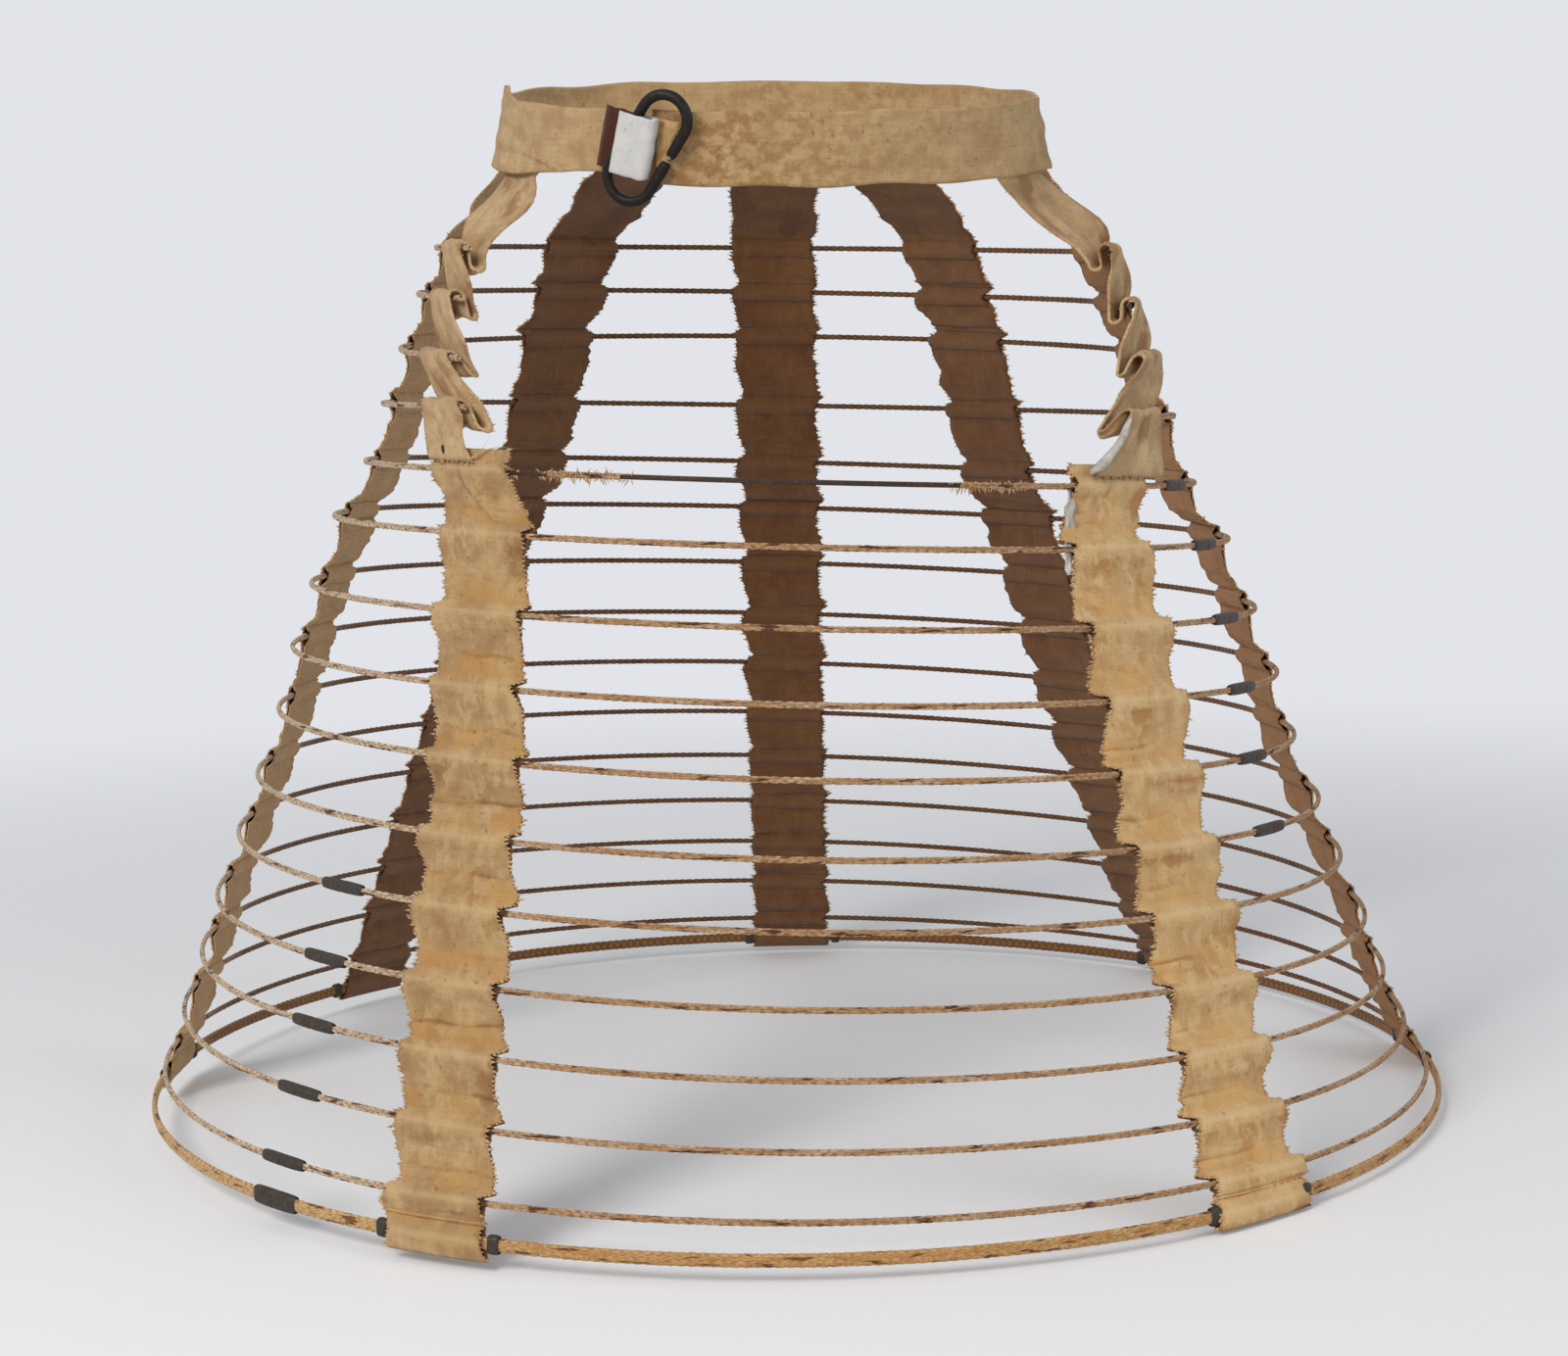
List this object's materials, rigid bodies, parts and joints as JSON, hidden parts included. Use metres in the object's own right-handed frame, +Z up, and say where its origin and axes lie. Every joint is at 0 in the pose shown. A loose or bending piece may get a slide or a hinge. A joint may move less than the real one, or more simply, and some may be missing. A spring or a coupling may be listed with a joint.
{
  "type": "crinoline cage",
  "caption": "Worn cage crinoline of covered steel hoops in the pockets of hanging cotton tapes, open at the upper front, on a buckled waistband.",
  "frame": {"origin": "middle of the waistband's opening, where a waist holds it", "axes": "+Z up along the cage's axis, front faces -Y, +X to the viewer's right"},
  "size_m": [0.5361, 0.5342, 0.4268],
  "materials": {
    "band_cloth": "worn tan cotton twill",
    "tab_cloth": "white cotton, creased",
    "tape_cloth": "double-woven tan cotton tape, stained",
    "strap_cloth": "woven tan cotton tape, tucked",
    "hoop_cover": "braided cotton cover, rust spotted",
    "hoop_steel": "dark rusted spring steel",
    "ferrule_metal": "dull grey crimped sheet",
    "buckle_metal": "black japanned wire, worn"
  },
  "bodies": {
    "root": {"waistband": "band_cloth", "waist_tab": "tab_cloth", "buckle_ring": "buckle_metal", "ferrules": "ferrule_metal", "hem_clips": "ferrule_metal", "left_front_tape": "tape_cloth", "right_front_tape": "tape_cloth", "left_side_tape": "tape_cloth", "right_side_tape": "tape_cloth", "left_back_tape": "tape_cloth", "right_back_tape": "tape_cloth", "centre_back_tape": "tape_cloth", "left_front_strap": "strap_cloth", "right_front_strap": "strap_cloth", "half_hoop_1_steel": "hoop_steel", "half_hoop_2_steel": "hoop_steel", "half_hoop_3_steel": "hoop_steel", "half_hoop_4_steel": "hoop_steel", "hoop_01_steel": "hoop_steel", "hoop_02_steel": "hoop_steel", "hoop_03_steel": "hoop_steel", "hoop_04_steel": "hoop_steel", "hoop_05_steel": "hoop_steel", "hoop_06_steel": "hoop_steel", "hoop_07_steel": "hoop_steel", "hoop_08_steel": "hoop_steel", "hoop_09_steel": "hoop_steel", "hoop_10_steel": "hoop_steel", "hoop_11_steel": "hoop_steel", "hoop_12_steel": "hoop_steel", "half_hoop_1_cover": "hoop_cover", "half_hoop_2_cover": "hoop_cover", "half_hoop_3_cover": "hoop_cover", "half_hoop_4_cover": "hoop_cover", "hoop_01_cover": "hoop_cover", "hoop_02_cover": "hoop_cover", "hoop_03_cover": "hoop_cover", "hoop_04_cover": "hoop_cover", "hoop_05_cover": "hoop_cover", "hoop_06_cover": "hoop_cover", "hoop_07_cover": "hoop_cover", "hoop_08_cover": "hoop_cover", "hoop_09_cover": "hoop_cover", "hoop_10_cover": "hoop_cover", "hoop_11_cover": "hoop_cover", "hoop_12_cover": "hoop_cover"}
  },
  "joints": []
}
